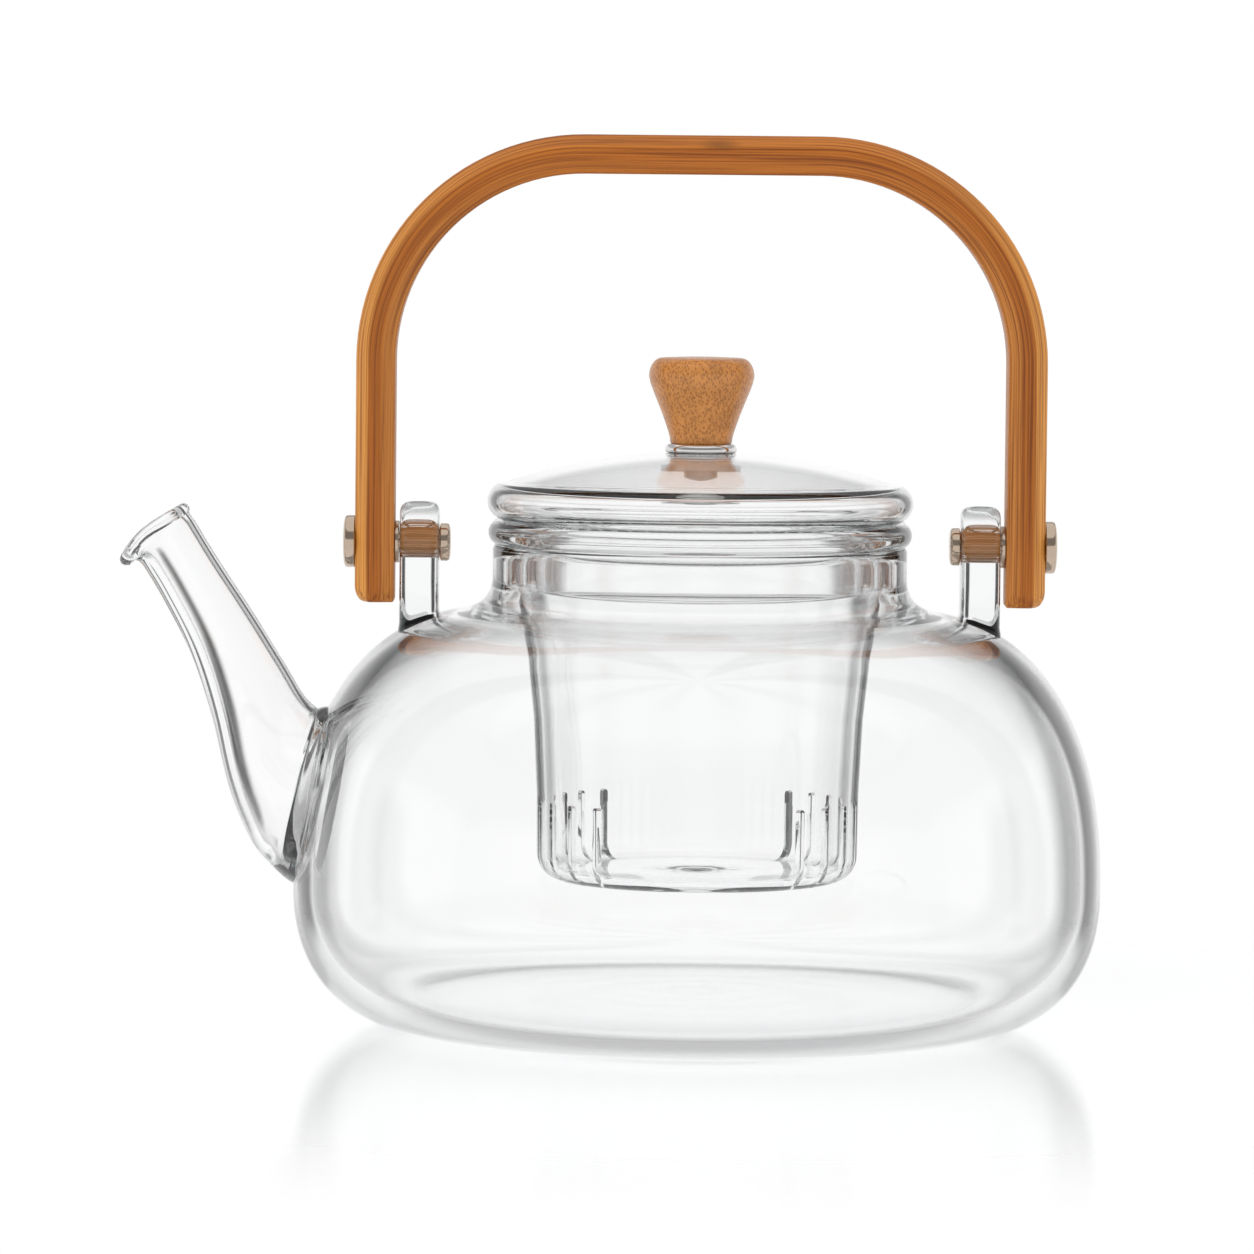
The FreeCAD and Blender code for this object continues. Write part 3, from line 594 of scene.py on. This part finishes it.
# Lid: a blown glass dome with a hollow rolled rim that sits on the infuser's flange. A skirt under it
# drops into the collar and keeps it in place, and the knob's stem goes through a hole in the middle.
LID_RADIUS = 0.0408
RIM_HEIGHT = 0.0074
CROWN_Z = 0.1104
HOLE_RADIUS = 0.0061
LID_WALL = 0.0017
DOME_STEPS = 19
SKIRT_OUTER = 0.0316
SKIRT_INNER = 0.0297
SKIRT_MID_Z = 0.090
SKIRT_FOOT_Z = 0.0828
SKIRT_ROUND = 0.0010
half = RIM_HEIGHT / 2
hollow = half - LID_WALL
rim_z = FLANGE_TOP_Z + half
skirt_mid = (SKIRT_OUTER + SKIRT_INNER) / 2
skirt_half = (SKIRT_OUTER - SKIRT_INNER) / 2
dome_edge = LID_RADIUS - half
dome_rise = CROWN_Z - FLANGE_TOP_Z - RIM_HEIGHT
sphere = (dome_edge ** 2 + dome_rise ** 2) / (2 * dome_rise)


def dome_z(radius):
    """Height of the dome at a radius."""
    return CROWN_Z - sphere + math.sqrt(sphere ** 2 - radius ** 2)


radii = [HOLE_RADIUS + (dome_edge - HOLE_RADIUS) * index / DOME_STEPS for index in range(DOME_STEPS + 1)]
shell = [(r, dome_z(r)) for r in radii]
shell += quarter(dome_edge, rim_z, half, half, 2, 71, 0, 12)
shell += quarter(dome_edge, rim_z, half, -half, 2, 0, 90, 14)[1:] + [(0.0345, FLANGE_TOP_Z)]
shell += quarter(SKIRT_OUTER + SKIRT_ROUND, FLANGE_TOP_Z - SKIRT_ROUND, -SKIRT_ROUND, SKIRT_ROUND,
                 2, 85, 0, 6)
shell += [(SKIRT_OUTER, SKIRT_MID_Z), (SKIRT_OUTER, SKIRT_FOOT_Z)]
shell += quarter(skirt_mid, SKIRT_FOOT_Z, skirt_half, -SKIRT_ROUND, 2, 15, 90, 5)
shell += quarter(skirt_mid, SKIRT_FOOT_Z, -skirt_half, -SKIRT_ROUND, 2, 75, 0, 5)
shell += [(SKIRT_INNER, SKIRT_MID_Z), (SKIRT_INNER, 0.0971)]
shell += quarter(SKIRT_INNER + 0.0020, 0.0967, -0.0020, 0.0020, 2, 10, 85, 6)
shell += [(0.0340, FLANGE_TOP_Z + LID_WALL)]
shell += quarter(dome_edge, rim_z, hollow, -hollow, 2, 90, 0, 10)
shell += quarter(dome_edge, rim_z, hollow, hollow, 2, 0, 71, 9)[1:]
shell += [(r, dome_z(r) - LID_WALL) for r in reversed(radii)]
shell.append(shell[0])
lid_shell = turned("lid_shell", shell, 180)
lid_shell.data.materials.append(glass)
lid_shell.visible_diffuse = False
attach(lid_shell, "lid")
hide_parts("lid_glass")

# Knob: turned from laminated bamboo, so its flank is flecked with cut fibre ends. It swells from a narrow
# foot to a rounded top, and is pulled down on the collar by a screw from inside the lid.
RING_HEIGHT = 0.0017
KNOB_SWELL_Z = 0.0129
FLECK_DARK = (0.27, 0.086, 0.011, 1)
FLECK_PALE = (0.52, 0.205, 0.040, 1)


def lifted(outline, rise):
    """An outline moved up."""
    return [(r, z + rise) for r, z in outline]


def stretched(tree, vector, scale):
    """A vector scaled along each axis, for a pattern with a grain."""
    node = tree.nodes.new("ShaderNodeMapping")
    node.inputs["Scale"].default_value = scale
    tree.links.new(vector, node.inputs["Vector"])
    return node


def noise(tree, vector, scale):
    """Soft cloudy variation."""
    node = tree.nodes.new("ShaderNodeTexNoise")
    node.inputs["Scale"].default_value = scale
    tree.links.new(vector, node.inputs["Vector"])
    return node


def raised(tree, shader, height, strength):
    """Gives a shader a fine relief, a fifth of a millimetre deep at full strength."""
    node = tree.nodes.new("ShaderNodeBump")
    node.inputs["Strength"].default_value = strength
    node.inputs["Distance"].default_value = 0.0002
    tree.links.new(height, node.inputs["Height"])
    tree.links.new(node.outputs["Normal"], shader.inputs["Normal"])


ring_foot_z = dome_z(HOLE_RADIUS)
knob_line = [(0, -0.0015), (0.005, -0.0015), (0.005, 0), (0.0057, 0), (0.0059, 0.0002), (0.0060, 0.0011)]
knob_line += [(0.00632, 0.0023), (0.00690, 0.0040), (0.00735, 0.0053), (0.0083, 0.0077), (0.0092, 0.0099)]
knob_line += [(0.0098, 0.0115), (0.0101, KNOB_SWELL_Z)]
knob_line += quarter(0.0076, KNOB_SWELL_Z, 0.0025, 0.0035, 2, 12, 90, 9) + [(0.004, 0.01655), (0, 0.0166)]
knob = turned("knob", lifted(knob_line, ring_foot_z + RING_HEIGHT), 96)
turned_bamboo, tree, shader = new_finish("turned_bamboo")
shader.inputs["Roughness"].default_value = 0.36
shader.inputs["Coat Weight"].default_value = 0.25
shader.inputs["Coat Roughness"].default_value = 0.25
coords = tree.nodes.new("ShaderNodeTexCoord")
grain = stretched(tree, coords.outputs["Object"], (2300, 2300, 1250))
bundles = tree.nodes.new("ShaderNodeTexVoronoi")
bundles.inputs["Scale"].default_value = 1.0
tree.links.new(grain.outputs["Vector"], bundles.inputs["Vector"])
fleck = ramp(tree, bundles.outputs["Distance"], [(0.12, FLECK_DARK), (0.62, FLECK_PALE)])
clouds = noise(tree, coords.outputs["Object"], 260)
clouds.inputs["Detail"].default_value = 3
tone = mixed(tree, 0.35, fleck, clouds.outputs["Fac"], "OVERLAY")
tree.links.new(tone, shader.inputs["Base Color"])
raised(tree, shader, bundles.outputs["Distance"], 0.12)
knob.data.materials.append(turned_bamboo)
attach(knob, "lid")
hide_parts("lid_knob")

# Collar: a flat ring of chromed metal between knob and glass, spun with a soft outer edge. It spreads the
# knob's pull on the glass round the hole, and the screw clamps it there.
RING_BORE = 0.0050
RING_EDGE_Z = 0.0005


def polished(tree, shader, scale, smoothest, roughest):
    """Makes a shader a metal whose polish varies a little from place to place."""
    shader.inputs["Metallic"].default_value = 1.0
    coords = tree.nodes.new("ShaderNodeTexCoord")
    smear = noise(tree, coords.outputs["Object"], scale)
    wear = spread(tree, smear.outputs["Fac"], 0, 1, to_low=smoothest, to_high=roughest)
    tree.links.new(wear, shader.inputs["Roughness"])


ring_line = [(RING_BORE, 0), (0.0066, 0)]
ring_line += quarter(0.0064, RING_EDGE_Z, 0.0005, -RING_EDGE_Z, 2, 80, 0, 6)
ring_line += quarter(0.0060, RING_EDGE_Z, 0.0009, RING_HEIGHT - RING_EDGE_Z, 2, 10, 90, 10)
ring_line += [(RING_BORE, RING_HEIGHT), ring_line[0]]
collar = turned("collar", lifted(ring_line, ring_foot_z), 96)
chrome, tree, shader = new_finish("polished_chrome")
shader.inputs["Base Color"].default_value = (0.72, 0.71, 0.70, 1)
polished(tree, shader, 900, 0.06, 0.14)
collar.data.materials.append(chrome)
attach(collar, "lid")
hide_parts("knob_collar")

# Fastening under the lid: two soft silicone rings round the knob's stem, and a satin steel washer and
# screw. The screw goes up into the knob and clamps rings, glass and collar together.
MILKY_DARK = (0.60, 0.58, 0.54, 1)
MILKY_PALE = (0.74, 0.73, 0.70, 1)


def dress(node_name, material):
    """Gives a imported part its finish."""
    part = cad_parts[node_name]
    part.data.materials.clear()
    part.data.materials.append(material)


silicone, tree, shader = new_finish("soft_silicone")
shader.inputs["Roughness"].default_value = 0.5
shader.inputs["Subsurface Weight"].default_value = 0.2
shader.inputs["Subsurface Radius"].default_value = (0.001, 0.001, 0.001)
coords = tree.nodes.new("ShaderNodeTexCoord")
dust = noise(tree, coords.outputs["Object"], 700)
milky = ramp(tree, dust.outputs["Fac"], [(0, MILKY_DARK), (1, MILKY_PALE)])
tree.links.new(milky, shader.inputs["Base Color"])
dress("stem_seals", silicone)
satin_steel, tree, shader = new_finish("satin_steel")
shader.inputs["Base Color"].default_value = (0.50, 0.50, 0.50, 1)
polished(tree, shader, 1500, 0.25, 0.42)
dress("retaining_washer", satin_steel)
dress("knob_screw", satin_steel)

# Bail: one strip of bamboo, steamed and bent over the pot. Its edges are planed to broad bevels, so three
# bands show from the front, and the long fibres follow the bend. The bands' colours are partly the
# bamboo's
# own tone and partly painted light: a lit outer bevel and a shaded front face.
BAIL_INNER_X = 0.0585
BAIL_OUTER_X = 0.0660
BAIL_TOP_Z = 0.1708
BAIL_FOOT_Z = 0.0812
CORNER = 0.0434
CORNER_STEPS = 28
LEG_STEPS = 9
TOP_STEPS = 12
FOOT_STEPS = [0.0006, 0.0005, 0.0006, 0.0007, 0.0008]
FOOT_ROUND = sum(FOOT_STEPS)
FOOT_TUCK = 0.0021
FOOT_NARROWING = 0.20
FLANK = 0.0045
STEAMED_BROWN = (0.46, 0.136, 0.012, 1)
thick = BAIL_OUTER_X - BAIL_INNER_X
corner_z = BAIL_TOP_Z - CORNER
corner_x = BAIL_OUTER_X - CORNER


def draw_out(step):
    """Extrudes the selected end of the strip by one step."""
    bpy.ops.mesh.extrude_region_move(TRANSFORM_OT_translate={"value": step})


section = [(0, 0.0055), (0.0025, 0.0065), (0.0052, 0.0065), (0.0075, 0.0041)]
section += [(out, -deep) for out, deep in reversed(section)]
bpy.ops.object.select_all(action="DESELECT")
bpy.ops.mesh.primitive_circle_add(vertices=8, radius=0.004, fill_type="NGON")
bail = bpy.context.object
bail.name = "bail"
for vertex, (out, deep) in zip(bail.data.vertices, section):
    vertex.co = (BAIL_INNER_X + out, deep, BAIL_FOOT_Z)
bpy.ops.object.mode_set(mode="EDIT")
bpy.ops.mesh.select_all(action="SELECT")
lifts = FOOT_STEPS + [(corner_z - BAIL_FOOT_Z - FOOT_ROUND) / LEG_STEPS] * LEG_STEPS
for lift in lifts:
    draw_out((0, 0, lift))
bpy.ops.mesh.spin(steps=CORNER_STEPS, angle=math.radians(90), axis=(0, 1, 0),
                  center=(corner_x, 0, corner_z))
for step in range(TOP_STEPS):
    draw_out((-2 * corner_x / TOP_STEPS, 0, 0))
bpy.ops.mesh.spin(steps=CORNER_STEPS, angle=math.radians(90), axis=(0, 1, 0),
                  center=(-corner_x, 0, corner_z))
for lift in reversed(lifts):
    draw_out((0, 0, -lift))
bpy.ops.mesh.select_all(action="SELECT")
bpy.ops.mesh.remove_doubles(threshold=1e-6)
bpy.ops.mesh.normals_make_consistent(inside=False)
bpy.ops.object.mode_set(mode="OBJECT")
soft_edges = bail.modifiers.new("soft_edges", "BEVEL")
soft_edges.width = 0.0004
soft_edges.segments = 3
soft_edges.angle_limit = math.radians(18)
bpy.ops.object.modifier_apply(modifier="soft_edges")
for vertex in bail.data.vertices:
    rise = max(0, vertex.co.z - BAIL_FOOT_Z)
    if rise < FOOT_ROUND:
        tuck = 1 - math.sqrt(1 - (1 - rise / FOOT_ROUND) ** 2)
        outer_share = max(0, abs(vertex.co.x) - BAIL_INNER_X - FLANK) / (thick - FLANK)
        vertex.co.x -= math.copysign(FOOT_TUCK * tuck * outer_share, vertex.co.x)
        vertex.co.y *= 1 - FOOT_NARROWING * tuck
bpy.ops.object.shade_smooth_by_angle(angle=math.radians(30))
half_length = math.pi / 2 * (CORNER - thick / 2) + corner_x
fibre_at = bail.data.attributes.new("fibre_at", "FLOAT_VECTOR", "POINT")
for vertex, store in zip(bail.data.vertices, fibre_at.data):
    x, y, z = vertex.co
    if z < corner_z:
        out = abs(x) - BAIL_INNER_X
        run = z - corner_z
    elif abs(x) > corner_x:
        out = math.hypot(abs(x) - corner_x, z - corner_z) - (CORNER - thick)
        run = math.atan2(z - corner_z, abs(x) - corner_x) * (CORNER - thick / 2)
    else:
        out = z - (BAIL_TOP_Z - thick)
        run = half_length - abs(x)
    store.vector = (out, y, math.copysign(half_length - run, x))

bent_bamboo, tree, shader = new_finish("bent_bamboo")
shader.inputs["Roughness"].default_value = 0.42
shader.inputs["Specular IOR Level"].default_value = 0.28
strip = tree.nodes.new("ShaderNodeAttribute")
strip.attribute_name = "fibre_at"
grain = stretched(tree, strip.outputs["Vector"], (3000, 2200, 24))
fibres = noise(tree, grain.outputs["Vector"], 1.0)
fibres.inputs["Detail"].default_value = 4
fibres.inputs["Roughness"].default_value = 0.65
streak = ramp(tree, fibres.outputs["Fac"], [(0.36, (0.40, 0.30, 0.22, 1)), (0.58, WHITE)])
across_strip = parts_of(tree, strip.outputs["Vector"])
# Painted light across the strip: the outer bevel is painted lit, the front face painted in shade and the
# inner bevel in between, over the bamboo's own slight tone.
bevel_light_stops = [(0.0, (0.50, 0.185, 0.036, 1)), (0.30, (0.47, 0.168, 0.028, 1))]
bevel_light_stops += [(0.36, (0.38, 0.112, 0.010, 1)), (0.66, (0.37, 0.106, 0.009, 1))]
bevel_light_stops += [(0.71, (0.66, 0.275, 0.052, 1)), (1.0, (0.70, 0.300, 0.062, 1))]
painted_bevel_light = ramp(tree, spread(tree, across_strip["X"], 0, thick), bevel_light_stops)
from_top = worked(tree, "ABSOLUTE", across_strip["Z"])
steamed = spread(tree, from_top, 0.02, 0.085, "SMOOTHSTEP", to_low=0.85, to_high=0)
banded = mixed(tree, steamed, painted_bevel_light, STEAMED_BROWN)
tone = mixed(tree, 0.9, banded, streak, "MULTIPLY")
knot_place = stretched(tree, strip.outputs["Vector"], (800, 0, 250))
knot_place.inputs["Location"].default_value = (-4.6, 0, -0.75)
knot_reach = length_of(tree, knot_place.outputs["Vector"])
knot = spread(tree, knot_reach, 0.1, 1.3, "SMOOTHSTEP", to_low=0.62, to_high=1)
tree.links.new(mixed(tree, 1, tone, knot, "MULTIPLY"), shader.inputs["Base Color"])
raised(tree, shader, fibres.outputs["Fac"], 0.15)
bail.data.materials.append(bent_bamboo)
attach(bail, "bail")
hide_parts("bail_handle")

# Pivots: domed bolts and nuts of warm polished nickel, with a washer between bail and lug. Each bolt runs
# in a brown sleeve that lines the lug, and can be seen through the glass.
CAP_RADIUS = 0.005
NUT_RADIUS = 0.0036
NUT_X = 0.0498
NUT_DEPTH = 0.0013
WASHER_RADIUS = 0.00405
WASHER_X = 0.0576
WASHER_THICKNESS = 0.0009
PIN_RADIUS = 0.002
PIN_LENGTH = 0.0175
SLEEVE_BORE = 0.00205
SLEEVE_X = LUG_X - LUG_HALF
SLEEVE_LENGTH = 2 * LUG_HALF
SOFT_EDGE = 0.0002
DOME_DROP = 0.0003
DOME_POWER = 3.2
nickel = chrome.copy()
nickel.name = "warm_nickel"
nickel.node_tree.nodes["Principled BSDF"].inputs["Base Color"].default_value = (0.52, 0.41, 0.32, 1)
sleeve = satin_steel.copy()
sleeve.name = "brown_sleeve"
sleeve.node_tree.nodes["Principled BSDF"].inputs["Base Color"].default_value = (0.40, 0.155, 0.030, 1)
sleeve.node_tree.nodes["Principled BSDF"].inputs["Metallic"].default_value = 0.1


def button(radius, rim, dome):
    """The outer line of a domed head with softened edges, from its flat side to its middle."""
    line = [(radius - SOFT_EDGE, 0), (radius, SOFT_EDGE), (radius, rim - DOME_DROP)]
    return line + quarter(0, rim - DOME_DROP, radius, dome + DOME_DROP, DOME_POWER, 14, 90, 14)


def fit(piece, x, turn, material, body, node):
    """Lays a turned piece along the pivot axis with its flat side at x, and gives it its place."""
    piece.rotation_euler = (0, math.radians(90) * turn, 0)
    piece.location = (x, 0, PIVOT_Z)
    placed()
    piece.data.materials.append(material)
    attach(piece, body)
    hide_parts(node)


pin = [(0, -PIN_LENGTH), (PIN_RADIUS - SOFT_EDGE, -PIN_LENGTH)]
pin += [(PIN_RADIUS, SOFT_EDGE - PIN_LENGTH), (PIN_RADIUS, 0)]
blind = [(0, NUT_DEPTH), (PIN_RADIUS, NUT_DEPTH), (PIN_RADIUS, 0)]
disc = [(PIN_RADIUS, 0), (WASHER_RADIUS - SOFT_EDGE, 0), (WASHER_RADIUS, SOFT_EDGE)]
disc += [(WASHER_RADIUS, WASHER_THICKNESS - SOFT_EDGE), (WASHER_RADIUS - SOFT_EDGE, WASHER_THICKNESS)]
disc += [(PIN_RADIUS, WASHER_THICKNESS), (PIN_RADIUS, 0)]
pipe = [(SLEEVE_BORE, 0), (BUSH_RADIUS, 0), (BUSH_RADIUS, SLEEVE_LENGTH)]
pipe += [(SLEEVE_BORE, SLEEVE_LENGTH), (SLEEVE_BORE, 0)]
for name, side in (("left", -1), ("right", 1)):
    bolt = turned(name + "_bolt", pin + button(CAP_RADIUS, 0.0017, 0.0007), 64)
    fit(bolt, side * BAIL_OUTER_X, side, nickel, "bail", name + "_pivot_bolt")
    nut = turned(name + "_nut", blind + button(NUT_RADIUS, 0.0015, 0.0006), 64)
    fit(nut, side * NUT_X, -side, nickel, "bail", name + "_cap_nut")
    spacer = turned(name + "_spacer", disc, 64)
    fit(spacer, side * WASHER_X, side, nickel, "bail", name + "_washer")
    lining = turned(name + "_sleeve", pipe, 64)
    fit(lining, side * SLEEVE_X, side, sleeve, "pot", name + "_bush")
